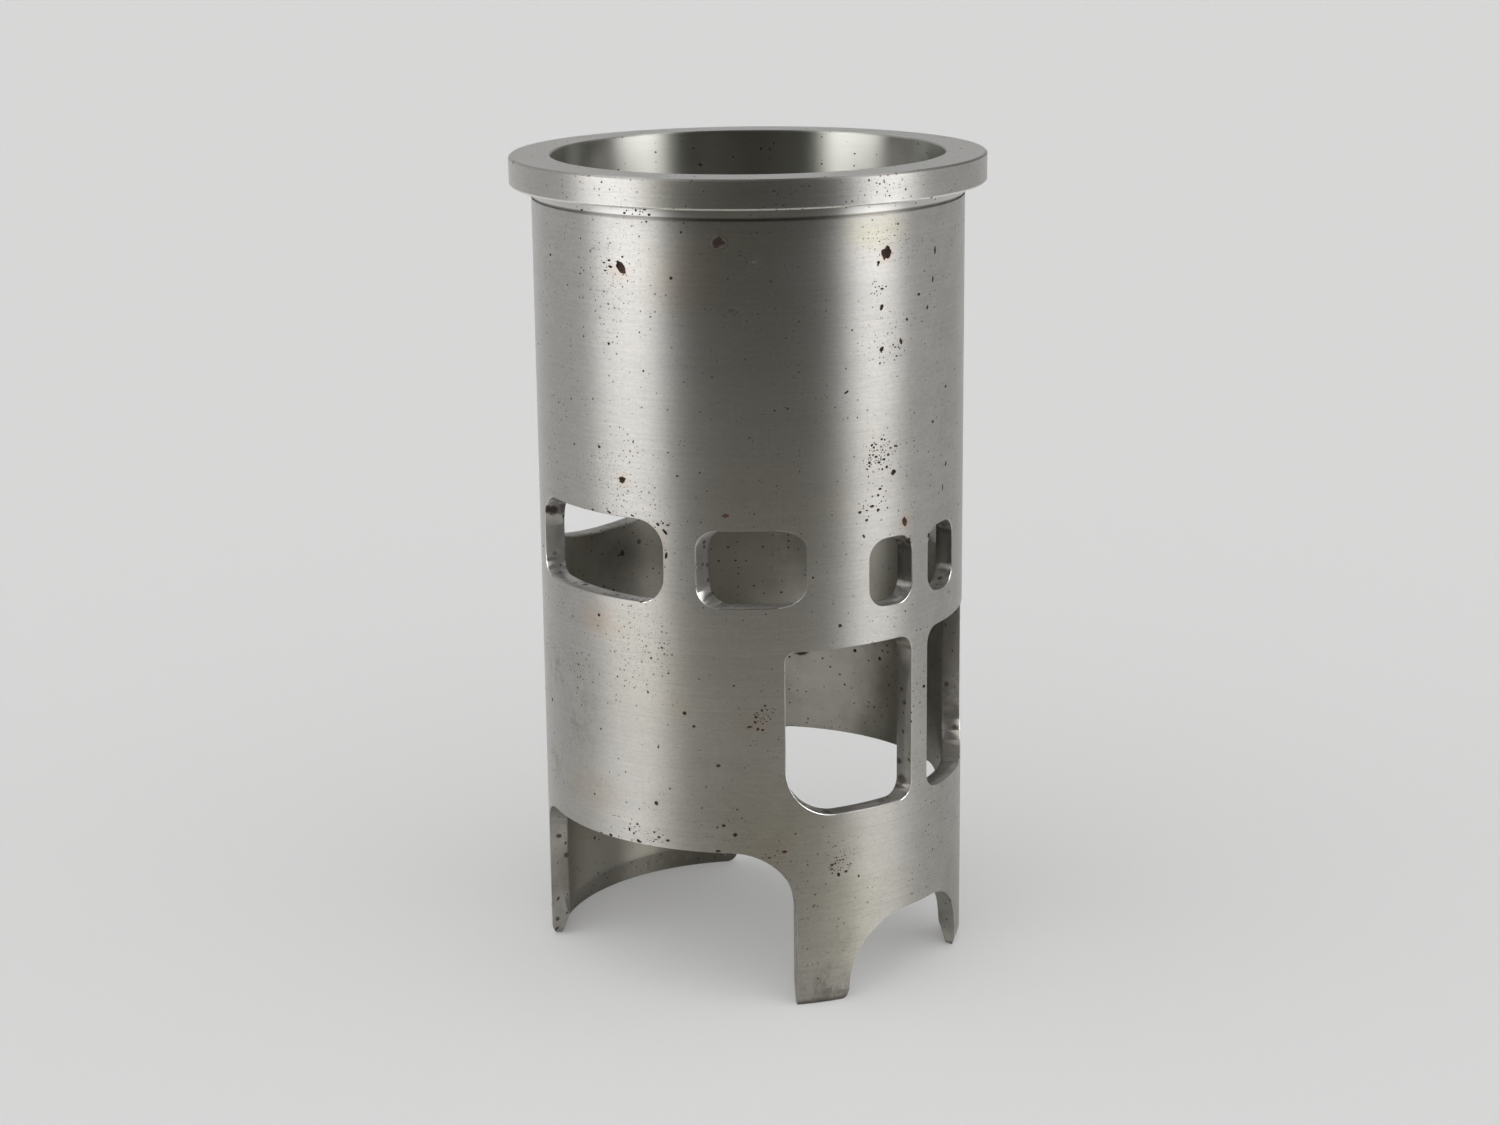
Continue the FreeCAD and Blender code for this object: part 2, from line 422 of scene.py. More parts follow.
def makeTurnedIron():
    look = turnedIron
    material, tree, point = newMaterial("turnedIron")
    place = unrolled(point, turned["body"])
    height = part(point, "Z")
    grains = patternsOf(point, look)

    def stained(spots, edge=softEdge):
        return stains(place, turned["body"], spots, edge)

    patch = smoothStep(grains["patch"], *look["patchRange"]) * look["patchCrowding"]
    crowded = most(patch, stained(speckPatches) * look["stainCrowding"])
    rust = specks(place, look["specks"], crowded)
    oil = most(smoothStep(grains["oil"], *look["oilRange"]) * look["oilPatches"], stained(oilStains))
    brown = stained(brownStains, raggedEdge)
    mottled = look["dirtLeast"] + look["dirtMore"] * smoothStep(grains["dirt"], *look["dirtRange"])
    # mottled dirt stains together with the painted shade bands
    dirt = most(stained(dirtStains) * mottled, stained(paintedShadeStains)) * look["dirtShare"]

    # the pilot band under the flange, the groove below it, and the flange's lower edge. Painted shade darkens the
    # groove, the band's top just under the flange and the foot's lowest rim; in the groove and under the flange it is
    # mixed with grime
    seat, sharp = turned["seat"], look["bandEdge"]
    grooveTop = seat - look["bandHeight"]
    onBand = smoothStep(height, grooveTop - sharp, grooveTop + sharp) * (1 - smoothStep(height, seat - sharp, seat))
    fromGroove = point.math("ABSOLUTE", height - (grooveTop - look["grooveWidth"] / 2)) / look["grooveWidth"]
    inGroove = 1 - smoothStep(fromGroove, *look["grooveRange"])
    underSeat = (1 - smoothStep(seat - height, *look["seatRange"])) * (seat > height)
    onFoot = 1 - smoothStep(height, *look["footRange"])
    # painted shade in the groove, under the flange seat and along the foot, in the groove and under the seat mixed
    # with grime
    grime = most(inGroove * look["grooveGrime"], underSeat * look["seatGrime"], onFoot * look["footGrime"])
    aboveSeat = height - seat
    edge = (1 - smoothStep(aboveSeat, *look["edgeRange"])) * (aboveSeat > look["edgeStart"])

    base = mixColour(oil * look["oilShare"], look["colour"], look["oil"])
    base = mixColour(stained(warmStains), base, look["warm"])
    base = mixColour(dirt, base, look["dirt"])
    base = mixColour(most(edge, onBand * look["bandLight"]), base, look["edge"])
    mottle = (grains["mottle"] - 0.5) * look["mottleTone"] * crowded
    swing = swings(mottle, grains, look["tones"])
    base = dimmed(base, 1 + swing * (1 - onBand * look["bandEven"]))
    # darkens toward the grime colour where the painted shade lies
    base = mixColour(grime, base, look["grime"])
    base = mixColour(brown, base, look["brown"])
    base = mixColour(rust, base, look["rust"])
    roughness = look["roughness"] - onBand * (look["roughness"] - look["bandRoughness"])
    roughness = swings(roughness, grains, look["roughens"])
    roughness = roughness + rust * look["rustRoughness"] + brown * look["brownRoughness"]
    relief = reliefOf(grains, look, rust) * (1 - onBand * look["bandFlat"])
    metal = 1 - covered(most(rust, brown))
    brushed = {"Anisotropic": look["anisotropy"], "Anisotropic Rotation": 0.25}
    ironSurface(tree, base, roughness, metal, relief, brushed)
    return material


# Finish of the deck and the flange's seat: faced on the lathe, so its rings run round the axis.
# The seat's side is dull, and painted dark as shade under the flange, partly with grime.
facedIron = {
    "colour": (0.56, 0.555, 0.535),
    "rust": (0.070, 0.045, 0.030),
    "grime": (0.10, 0.094, 0.082),
    "roughness": 0.33,
    "rustRoughness": 0.4,
    "grimeRoughness": 0.5,
    "rings": (1 / 0.00030, 0.0, 2.0, 0.6),
    "patterns": {"cloud": (60.0, 60.0, 4.0, 0.6)},
    "tones": {"rings": 0.14, "cloud": 0.22},
    "roughens": {"cloud": 0.12},
    "heights": {"rings": 2.0e-6},
    "speckDepth": 2.5e-5,
    "specks": [
        (0.0019, 0.25, 0.0, 0.05, 0.16, 1.0, 1.0),
        (0.0070, 0.35, 0.0, 0.02, 0.06, 1.0, 1.0),
    ],
    "rustDulls": 0.9,
    "underRange": (0.0005, 0.0010),
    "grimeShare": 0.85,
}


def makeFacedIron():
    look = facedIron
    material, tree, point = newMaterial("facedIron")
    flat, radius = flattened(point)
    grains = {"rings": pattern(joined(radius, 0.0), look["rings"]), **patternsOf(point, look)}
    rust = specks(flat, look["specks"])
    # painted shade under the flange, partly grime
    under = 1 - smoothStep(part(point, "Z") - turned["seat"], *look["underRange"])
    base = dimmed(look["colour"], swings(1.0, grains, look["tones"]))
    base = mixColour(rust, base, look["rust"])
    base = mixColour(under * look["grimeShare"], base, look["grime"])
    roughness = swings(look["roughness"], grains, look["roughens"])
    roughness = roughness + rust * look["rustRoughness"] + under * look["grimeRoughness"]
    relief = reliefOf(grains, look, rust)
    metal = (1 - rust * look["rustDulls"]) * (1 - under)
    ironSurface(tree, base, roughness, metal, relief, {})
    return material


# Finish of the bore: honed smoother than the outside, with brown film low down
honedIron = {
    "colour": (0.425, 0.425, 0.395),
    "stain": (0.27, 0.25, 0.205),
    "film": (0.64, 0.615, 0.55),
    # colour of the soot, also used for the painted dark reflection
    "soot": (0.13, 0.12, 0.098),
    "rust": (0.035, 0.024, 0.017),
    "roughness": 0.315,
    "lowRoughness": 0.08,
    "filmRoughness": 0.08,
    "rustRoughness": 0.4,
    "anisotropy": 0.97,
    "patterns": {
        "rings": (90.0, 2600.0, 3.0, 0.6),
        "cloud": (45.0, 30.0, 4.0, 0.55),
        "film": (26.0, 20.0, 4.0, 0.5),
    },
    "tones": {"rings": 0.14, "cloud": 0.2},
    "roughens": {"rings": 0.08},
    "heights": {"rings": 1.6e-6},
    "speckDepth": 3.0e-6,
    "specks": [
        (0.0021, 0.12, 0.25, 0.06, 0.17, 1.3, 1.0),
        (0.0080, 0.20, 0.25, 0.02, 0.07, 1.0, 1.0),
    ],
    "filmFrom": 0.150,
    "filmFull": 0.110,
    "filmRange": (0.40, 0.70),
    "lowStain": 0.62,
    "filmStain": 0.10,
    "lowFilmStain": 0.28,
    "lowDulls": 0.26,
    "taperRange": (0.0045, 0.0068),
    "taperSoot": 0.5,
}

# Soot, and pale film that has dried, on the bore. The soot patch at bearing 58 is a painted dark reflection on the
# far bore
sootAndShadePatches = [
    (172.0, 83.0, 26.0, 16.0, 0.75),
    (50.0, 86.0, 12.0, 16.0, 0.7),
    # painted dark reflection on the far bore, not soot
    (58.0, 60.0, 26.0, 64.0, 1.0),
    (-172.0, 90.0, 30.0, 18.0, 0.4),
    (180.0, 140.0, 24.0, 50.0, 0.25),
]
boreSpots = [
    (114.3, 54.8, 4.6, 2.2, 1.0),
    (168.5, 84.5, 1.4, 1.4, 0.7),
]
paleFilms = [
    (107.0, 52.0, 36.0, 66.0, 1.0),
    (-165.0, 12.0, 42.0, 36.0, 0.16),
    (128.0, 76.0, 36.0, 30.0, 0.2),
    (-60.0, 60.0, 42.0, 38.0, 0.3),
    (5.0, 50.0, 28.0, 50.0, 0.25),
    # the last two are pale patches that lighten the far bore near its top
    (180.0, 174.0, 16.0, 20.0, 0.35),
    (79.0, 172.0, 16.0, 24.0, 0.4),
]


def makeHonedIron():
    look = honedIron
    material, tree, point = newMaterial("honedIron")
    place = unrolled(point, turned["bore"])
    height = part(point, "Z")
    grains = patternsOf(point, look)
    low = smoothStep(0 - height, -look["filmFrom"], -look["filmFull"])
    film = smoothStep(grains["film"], *look["filmRange"])
    rust = most(specks(place, look["specks"], low), stains(place, turned["bore"], boreSpots))
    soot = stains(place, turned["bore"], sootAndShadePatches, softEdge)
    pale = stains(place, turned["bore"], paleFilms, softEdge)
    taper = 1 - smoothStep(height, *look["taperRange"])
    stain = low * look["lowStain"] + film * (look["filmStain"] + low * look["lowFilmStain"])
    base = mixColour(stain, look["colour"], look["stain"])
    base = mixColour(most(soot, taper * look["taperSoot"]), base, look["soot"])
    base = mixColour(pale, base, look["film"])
    base = dimmed(base, swings(1.0, grains, look["tones"]))
    base = mixColour(rust, base, look["rust"])
    roughness = swings(look["roughness"], grains, look["roughens"]) + rust * look["rustRoughness"]
    roughness = roughness + low * look["lowRoughness"] + film * low * look["filmRoughness"]
    relief = reliefOf(grains, look, rust)
    metal = 1 - most(covered(rust), low * look["lowDulls"] + pale)
    brushed = {"Anisotropic": look["anisotropy"], "Anisotropic Rotation": 0.25}
    ironSurface(tree, base, roughness, metal, relief, brushed)
    return material


# Finish of the walls of the ports and the foot: milled, with cutter marks and brown film
milledIron = {
    "colour": (0.43, 0.42, 0.405),
    "film": (0.22, 0.205, 0.18),
    "rust": (0.03, 0.018, 0.013),
    # colour of grease, also used as painted shade for dark reflections on the walls
    "grease": (0.085, 0.080, 0.072),
    "edge": (0.72, 0.71, 0.69),
    "roughness": 0.28,
    "filmRoughness": 0.16,
    "rustRoughness": 0.3,
    "metal": 0.76,
    "patterns": {
        "marks": (2200.0, 500.0, 2.0, 0.6),
        "cloud": (160.0, 130.0, 4.0, 0.6),
        "film": (75.0, 60.0, 3.0, 0.5),
    },
    "tones": {"marks": 0.24, "cloud": 0.4},
    "roughens": {"cloud": 0.16},
    "heights": {"marks": 3.0e-6, "cloud": 1.0e-5},
    "speckDepth": 1.5e-5,
    "specks": [(0.0024, 0.45, 0.0, 0.06, 0.20, 1.0, 1.0)],
    "filmRange": (0.34, 0.62),
    "filmShare": 0.8,
    "edgeRange": (-0.00018, -0.00012),
}

# Dark spots on the ports' walls: bearing, height, how far from the axis, size, and strength
wallSpots = [
    (-122.4, 103.8, 45.6, 3.4, 1.0),
    (-121.6, 104.2, 43.4, 3.2, 0.8),
    (-122.6, 104.0, 46.8, 3.0, 1.0),
    (-123.6, 93.6, 45.3, 1.2, 0.8),
    (-119.5, 90.0, 45.0, 1.4, 0.6),
    (-107.8, 89.9, 45.4, 1.0, 0.8),
    (-104.5, 89.9, 44.2, 1.8, 0.9),
    (-93.2, 89.9, 46.0, 0.9, 0.7),
    (-89.8, 89.9, 45.0, 1.1, 0.8),
    (-83.8, 89.9, 45.8, 1.0, 0.8),
    (-80.0, 89.9, 46.9, 1.4, 1.0),
    (-62.8, 103.7, 45.0, 1.2, 0.9),
    (-62.8, 102.5, 44.7, 1.0, 0.9),
    (-63.1, 98.8, 45.2, 1.1, 0.9),
    (-62.3, 98.4, 43.9, 1.2, 0.8),
    (-62.1, 95.1, 43.7, 1.1, 0.8),
    (-4.2, 100.4, 46.7, 1.7, 1.0),
    (16.6, 88.5, 44.8, 1.4, 0.9),
    (-135.4, 24.4, 45.1, 1.4, 0.9),
    (-135.8, 19.5, 43.5, 1.5, 0.9),
    (-135.8, 4.0, 45.9, 1.2, 0.8),
    (-3.6, 67.1, 44.5, 1.1, 0.9),
    (-3.6, 64.1, 45.3, 1.0, 0.9),
    (-3.7, 50.5, 43.8, 1.7, 0.9),
    (-3.8, 46.4, 44.6, 2.8, 0.8),
    (-12.0, 43.7, 45.0, 2.2, 0.8),
    (-30.0, 43.7, 45.5, 2.4, 0.9),
    (41.7, 58.3, 44.2, 1.4, 0.9),
    (39.7, 48.6, 45.9, 1.3, 0.9),
]

# Dark patches on the ports' walls, partly grease and partly painted shade for their dark reflections: bearing,
# height, how far from the axis, size, and strength
wallGreaseAndShade = [
    (-3.7, 96.0, 45.2, 13.0, 0.85),
    (18.5, 95.0, 45.2, 14.0, 0.9),
    (-3.7, 62.0, 45.0, 30.0, 0.35),
    (41.5, 69.0, 45.0, 34.0, 0.6),
    (-62.5, 96.0, 45.0, 16.0, 0.25),
    (-27.0, 43.8, 45.2, 9.0, 0.6),
]


def spotsAt(point, spots):
    edge = raggedEdge
    ragged = (pattern(point, edge["grain"]) - 0.5) * edge["ragged"]
    masks = []
    for bearing, height, fromAxis, size, strength in spots:
        angle = math.radians(bearing)
        centre = [fromAxis * math.sin(angle), -fromAxis * math.cos(angle), height]
        away = point.vector("DISTANCE", point, [inMetres(value) for value in centre], output=1)
        reach = away / inMetres(size / 2) + ragged
        masks.append((1 - smoothStep(reach, edge["inner"], edge["outer"])) * strength)
    return most(*masks)


def makeMilledIron():
    look = milledIron
    material, tree, point = newMaterial("milledIron")
    grains = patternsOf(point, look)
    film = smoothStep(grains["film"], *look["filmRange"])
    rust = most(specks(skewed(point), look["specks"]), spotsAt(point, wallSpots))
    edge = smoothStep(flattened(point)[1] - turned["body"], *look["edgeRange"])
    base = mixColour(film * look["filmShare"], look["colour"], look["film"])
    # partly grease, partly painted shade
    base = mixColour(spotsAt(point, wallGreaseAndShade), base, look["grease"])
    base = dimmed(base, swings(1.0, grains, look["tones"]))
    base = mixColour(edge, base, look["edge"])
    base = mixColour(rust, base, look["rust"])
    roughness = swings(look["roughness"], grains, look["roughens"])
    roughness = roughness + film * look["filmRoughness"] + rust * look["rustRoughness"]
    relief = reliefOf(grains, look, rust)
    metal = (look["metal"] + edge * (1 - look["metal"])) * (1 - covered(rust))
    ironSurface(tree, base, roughness, metal, relief, {})
    return material


# Crust inside the pits and chips
pitRust = {
    "deep": (0.020, 0.010, 0.008),
    "bright": (0.115, 0.050, 0.030),
    "roughness": 0.85,
    "grain": (2600.0, 2600.0, 3.0, 0.6),
    "patch": (420.0, 420.0, 2.0, 0.5),
    "grainShare": 0.55,
    "brightRange": (0.38, 0.72),
    "height": 5.0e-5,
}


def makePitRust():
    look = pitRust
    material, tree, point = newMaterial("pitRust")
    grain, patch = pattern(point, look["grain"]), pattern(point, look["patch"])
    crust = grain * look["grainShare"] + patch * (1 - look["grainShare"])
    base = mixColour(smoothStep(crust, *look["brightRange"]), look["deep"], look["bright"])
    constants = {"Roughness": look["roughness"], "Metallic": 0.0}
    principled(tree, {"Base Color": base, "Normal": bumped(grain * look["height"])}, constants)
    return material


# The liner's shell: a merged copy of the CAD mesh, cut finer and set back on its turned radii. The slacks say how
# far a turned face may be off, and "inward", "outward" and "upward" how far one has to face that way.
linerShell = {
    "halfTurns": 108,
    "ringStep": 0.012,
    "mergeDistance": 1e-6,
    "cutDistance": 1e-7,
    "lastMerge": 2e-7,
    "radiusSlack": 5.5e-5,
    "facingSlack": 0.01,
    "roundSlack": 0.03,
    "inward": -0.5,
    "outward": 0.3,
    "upward": 0.9,
    "leadIn": 0.0021,
    "seatSlack": 0.001,
    "smoothAngle": 28.0,
}


def newObject(name, data):
    made = bpy.data.objects.new(name, data)
    bpy.context.scene.collection.objects.link(made)
    return made


def evaluatedMesh(piece):
    # the piece's mesh with its modifiers applied, which are then removed
    evaluated = piece.evaluated_get(bpy.context.evaluated_depsgraph_get())
    mesh = bpy.data.meshes.new_from_object(evaluated)
    piece.modifiers.clear()
    return mesh


def facesOn(bm, radius, outward):
    slack = linerShell["radiusSlack"]
    found = []
    for face in bm.faces:
        centre = face.calc_center_median()
        radial = Vector((centre.x, centre.y, 0)).normalized()
        if abs(face.normal.dot(radial) - outward) > linerShell["facingSlack"]:
            continue
        if all(-slack < math.hypot(v.co.x, v.co.y) - radius < slack * 0.1 for v in face.verts):
            found.append(face)
    return found


def cutBy(bm, level, normal):
    geometry = bm.verts[:] + bm.edges[:] + bm.faces[:]
    distance = linerShell["cutDistance"]
    bmesh.ops.bisect_plane(bm, geom=geometry, plane_co=(0, 0, level), plane_no=normal, dist=distance)


def refinedShell():
    look = linerShell
    bm = bmesh.new()
    bm.from_mesh(frame["nodes"][nodeName].data)
    bmesh.ops.remove_doubles(bm, verts=bm.verts, dist=look["mergeDistance"])
    for turn in range(look["halfTurns"]):
        angle = math.pi * (turn + 0.5) / look["halfTurns"]
        cutBy(bm, 0, (math.cos(angle), math.sin(angle), 0))
    level = look["ringStep"]
    while level < turned["seat"]:
        cutBy(bm, level, (0, 0, 1))
        level += look["ringStep"]
    bm.normal_update()
    for radius, outward in ((turned["bore"], -1), (turned["body"], 1), (turned["flange"], 1)):
        onWall = set(v for face in facesOn(bm, radius, outward) for v in face.verts)
        for v in onWall:
            scale = radius / math.hypot(v.co.x, v.co.y)
            v.co.x *= scale
            v.co.y *= scale
    bmesh.ops.remove_doubles(bm, verts=bm.verts, dist=look["lastMerge"])
    mesh = bpy.data.meshes.new("linerShell")
    bm.to_mesh(mesh)
    bm.free()
    return newObject("linerShell", mesh)


def readAll(items, name, width=1, kind=float):
    values = np.zeros(len(items) * width, kind)
    items.foreach_get(name, values)
    return values.reshape(-1, width) if width > 1 else values


def faceFrames(mesh):
    # each face's centre, and how far its normal points outward, round and up
    centre = readAll(mesh.polygons, "center", 3)
    normal = readAll(mesh.polygons, "normal", 3)
    radial = centre[:, :2] / np.linalg.norm(centre[:, :2], axis=1, keepdims=True)
    outward = (normal[:, :2] * radial).sum(1)
    around = normal[:, 1] * radial[:, 0] - normal[:, 0] * radial[:, 1]
    return centre, outward, around, normal[:, 2]


def setFinishes(piece, slots):
    # finishes go by where a face lies: bore, turned outside, faced end, or milled wall
    look = linerShell
    mesh = piece.data
    centre, outward, around, up = faceFrames(mesh)
    radius = np.hypot(centre[:, 0], centre[:, 1])
    index = np.full(len(mesh.polygons), slots["milledIron"], np.int32)
    revolved = np.abs(around) < look["roundSlack"]
    inside = revolved & (outward < look["inward"]) & (radius < turned["bore"] + look["leadIn"])
    atFlange = centre[:, 2] > turned["seat"] - look["seatSlack"]
    index[revolved & (outward > look["outward"])] = slots["turnedIron"]
    index[(np.abs(up) > look["upward"]) & atFlange] = slots["facedIron"]
    index[inside] = slots["honedIron"]
    mesh.polygons.foreach_set("material_index", index)


# Pits of rust, scattered over the turned walls by a node tree, closer together in patches. Sizes are in metres,
# densities in a square metre, and each group below has pits of its own sizes.
rustPits = {
    "spacing": 0.0016,
    "density": 9000.0,
    "smallest": 0.00010,
    "largest": 0.00048,
    "depth": 0.55,
    "ragged": 0.9,
    "seed": 7,
    "patchiness": 0.85,
    "patches": (50.0, 50.0, 2.0, 0.5),
    "patchRange": (0.42, 0.60),
    "fadeRange": (0.35, 1.0),
    "overshoot": 1.2,
    "margin": 0.006,
    "upright": 0.97,
    "lengths": (0.8, 1.7),
    "grain": 1900.0,
    "subdivisions": 2,
    "everywhere": 10.0,
    "apart": 0.95,
}
groupPits = {
    "spacing": 0.0005,
    "packing": 1.6,
    "smallest": 0.00014,
    "largest": 0.00036,
    "flangeLargest": 0.00022,
    "firstSeed": 20,
}

# Groups of small pits: bearing in degrees, height and reach in millimetres, and pits in a square millimetre
pitGroups = [
    (-15.0, 121.0, 5.5, 1.6),
    (-17.5, 110.0, 4.5, 0.9),
    (-9.0, 142.0, 3.0, 0.8),
    (-15.5, 156.0, 3.0, 0.8),
    (-83.0, 39.0, 2.6, 1.0),
    (-75.5, 37.8, 2.6, 1.0),
    (-48.0, 66.0, 3.2, 2.4),
    (-27.0, 31.0, 3.2, 1.6),
    (-45.0, 34.0, 3.0, 0.8),
    (-72.5, 106.5, 2.4, 1.0),
    (-97.0, 160.5, 2.6, 0.7),
    (-18.0, 177.5, 3.6, 0.5),
    (-79.0, 172.8, 4.0, 0.8),
    (96.0, 150.0, 5.0, 1.0),
    (150.0, 60.0, 5.0, 1.2),
    (-150.0, 140.0, 6.0, 0.9),
    (60.0, 80.0, 4.0, 1.2),
]

# The largest pits, and chips on the edges: bearing, height, length, breadth, lean, depth and wall
mainPits = [
    (-84.0, 161.0, 3.2, 1.8, -45, 0.5, "body"),
    (-87.2, 160.9, 1.2, 0.5, -10, 0.3, "body"),
    (-87.6, 162.2, 0.9, 0.5, 10, 0.3, "body"),
    (-86.4, 159.7, 1.6, 0.4, -8, 0.3, "body"),
    (-89.3, 161.6, 0.8, 0.4, 0, 0.25, "body"),
    (-89.0, 160.0, 0.9, 0.35, -5, 0.25, "body"),
    (-83.4, 163.2, 0.6, 0.5, 0, 0.25, "body"),
    (-13.0, 163.2, 2.9, 2.5, 70, 0.6, "body"),
    (-15.5, 161.4, 0.9, 0.7, 0, 0.3, "body"),
    (-85.0, 116.0, 1.7, 1.6, 0, 0.4, "body"),
    (-56.5, 110.0, 1.6, 0.9, 10, 0.3, "body"),
    (-6.5, 105.3, 2.1, 1.4, -80, 0.35, "body"),
    (-14.5, 152.0, 1.3, 1.0, 60, 0.4, "body"),
    (-8.0, 144.2, 1.3, 0.9, -50, 0.4, "body"),
    (-14.5, 143.2, 1.2, 0.9, 50, 0.4, "body"),
    (-10.5, 116.5, 1.5, 1.1, 30, 0.45, "body"),
    (-15.0, 113.5, 0.8, 0.6, 0, 0.3, "body"),
    (-17.5, 110.0, 1.2, 0.6, 0, 0.3, "body"),
    (-20.0, 103.8, 0.9, 0.6, -60, 0.3, "body"),
    (6.0, 162.0, 1.8, 0.8, 85, 0.35, "body"),
    (5.0, 156.0, 1.2, 0.6, 80, 0.3, "body"),
    (2.5, 150.3, 1.0, 0.7, 50, 0.3, "body"),
    (11.0, 110.0, 1.4, 0.5, 85, 0.3, "body"),
    (13.0, 115.0, 1.1, 0.7, 70, 0.3, "body"),
    (-25.0, 135.0, 1.2, 0.5, 30, 0.3, "body"),
    (-27.0, 85.0, 0.9, 0.8, 0, 0.35, "body"),
    (-92.5, 122.3, 0.8, 0.6, -20, 0.3, "body"),
    (-94.0, 85.3, 0.8, 0.7, 0, 0.3, "body"),
    (-68.0, 66.5, 0.9, 0.8, 0, 0.35, "body"),
    (-65.5, 63.7, 0.7, 0.6, 0, 0.3, "body"),
    (-51.0, 64.0, 1.2, 0.5, 10, 0.3, "body"),
    (-55.0, 39.8, 1.0, 0.8, 20, 0.35, "body"),
    (-58.0, 41.8, 0.8, 0.7, 0, 0.3, "body"),
    (-85.0, 38.4, 0.8, 0.5, 80, 0.3, "body"),
    (-97.0, 171.8, 0.9, 0.7, 30, 0.3, "body"),
    (-27.5, 29.3, 0.9, 0.7, -60, 0.3, "body"),
    (-95.0, 35.6, 0.9, 0.5, -5, 0.35, "body"),
    (-91.5, 35.9, 1.1, 0.6, -10, 0.4, "body"),
    (-82.0, 36.1, 1.4, 0.7, -10, 0.45, "body"),
    (-59.5, 36.0, 1.2, 0.6, 0, 0.4, "body"),
    (-95.5, 108.3, 0.9, 0.4, -10, 0.3, "body"),
    (-89.5, 108.5, 1.2, 0.5, -15, 0.35, "body"),
    (-82.0, 108.6, 1.0, 0.4, -20, 0.35, "body"),
    (-74.5, 107.3, 0.9, 0.6, -50, 0.35, "body"),
    (-72.5, 105.8, 1.5, 0.6, -50, 0.4, "body"),
    (-72.3, 100.8, 1.6, 0.6, 80, 0.4, "body"),
    (-4.8, 101.0, 1.1, 0.8, 40, 0.45, "body"),
    (3.7, 100.6, 1.2, 0.9, 60, 0.45, "body"),
    (-84.0, 89.0, 1.2, 0.7, 10, 0.4, "bore"),
    (-109.0, 89.3, 1.9, 0.9, -15, 0.5, "bore"),
    (175.5, 82.6, 1.7, 1.5, 0, 0.4, "bore"),
    (145.0, 172.5, 0.8, 0.8, 0, 0.3, "bore"),
    (40.0, 130.0, 1.8, 1.2, 30, 0.4, "body"),
    (75.0, 45.0, 1.5, 1.1, -30, 0.4, "body"),
    (120.0, 155.0, 2.2, 1.4, 40, 0.5, "body"),
    (165.0, 75.0, 1.6, 1.2, 10, 0.4, "body"),
    (-140.0, 100.0, 1.8, 1.0, -40, 0.4, "body"),
    (-165.0, 50.0, 1.4, 1.1, 20, 0.4, "body"),
]


